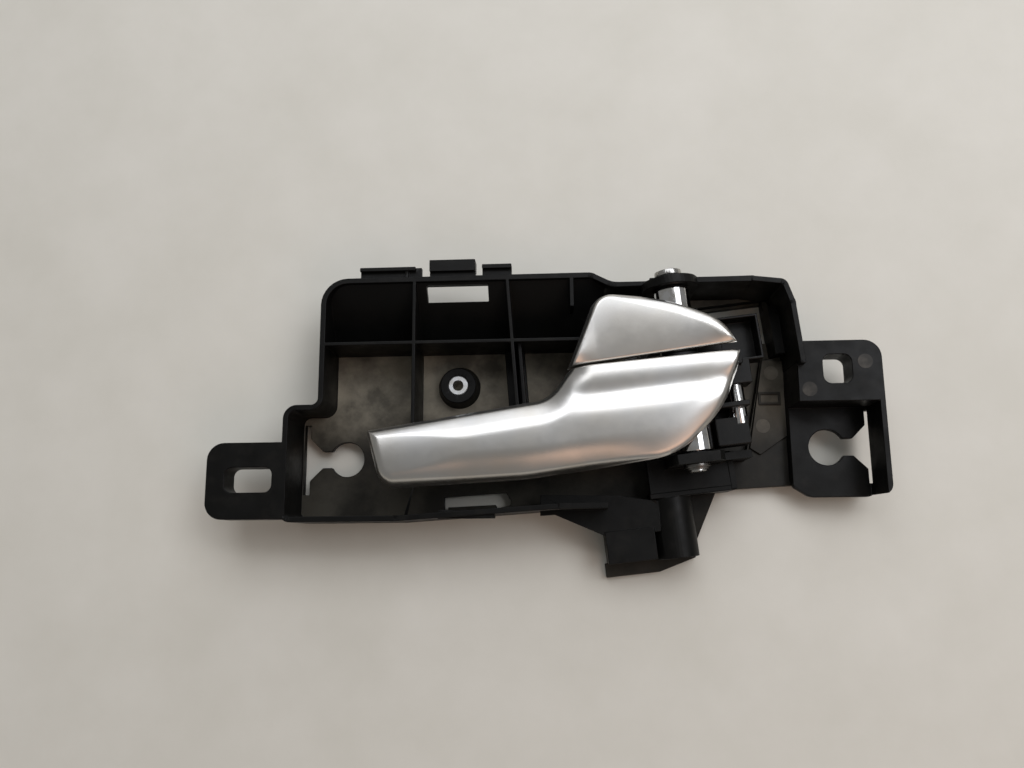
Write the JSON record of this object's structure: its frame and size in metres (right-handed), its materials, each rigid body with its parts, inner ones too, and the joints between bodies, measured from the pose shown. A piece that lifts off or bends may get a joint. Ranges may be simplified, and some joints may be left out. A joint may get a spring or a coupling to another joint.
{
  "type": "car interior door handle",
  "caption": "Interior door release handle: black moulded carrier with a satin silver pull lever and a small lock lever turning on a shared pin, with slotted lugs and keyholes.",
  "frame": {"origin": "mouth of the threaded insert, at the centre of the boss's top face", "axes": "+X along the handle towards the pivot, +Y towards the clip tabs, +Z out of the boss towards the passenger"},
  "size_m": [0.195, 0.0943, 0.0304],
  "materials": {
    "carrier_plastic": "black glass-filled nylon, fine eroded texture with shiny worn flats",
    "insert_steel": "zinc-plated steel",
    "satin_silver": "satin silver, fine blasted",
    "crank_plastic": "black acetal",
    "barrel_chrome": "polished chrome",
    "pin_steel": "bright drawn steel",
    "spring_steel": "oiled spring steel",
    "bush_nylon": "dark nylon",
    "screw_steel": "zinc-plated steel",
    "buffer_rubber": "black rubber"
  },
  "bodies": {
    "carrier": {"carrier_frame": "carrier_plastic", "threaded_insert": "insert_steel", "pivot_pin": "pin_steel", "pin_retainer": "spring_steel", "ear_bushes": "bush_nylon", "hub_washer": "bush_nylon", "spring_sleeve": "bush_nylon", "lock_detent": "spring_steel", "detent_rivet": "screw_steel", "grip_buffer": "buffer_rubber", "lock_buffer": "buffer_rubber"},
    "pull_lever": {"pull_grip": "satin_silver", "pull_crank": "crank_plastic", "pull_barrel": "barrel_chrome", "cable_pin": "pin_steel", "grip_screws": "screw_steel", "pull_spring": "spring_steel"},
    "lock_lever": {"lock_cover": "satin_silver", "lock_crank": "crank_plastic", "lock_barrel": "barrel_chrome", "lock_screw": "screw_steel"}
  },
  "joints": [
    {"name": "pull_hinge", "type": "hinge", "parent": "carrier", "child": "pull_lever", "pos_m": [0.0666, -0.0025, 0.012], "axis": [-0.1045, 0.9945, 0], "range_deg": [0, 35], "stiffness_Nm_per_rad": 0.3, "springref_deg": -28.65},
    {"name": "lock_hinge", "type": "hinge", "parent": "carrier", "child": "lock_lever", "pos_m": [0.0666, -0.0025, 0.012], "axis": [-0.1045, 0.9945, 0], "range_deg": [0, 15]}
  ]
}
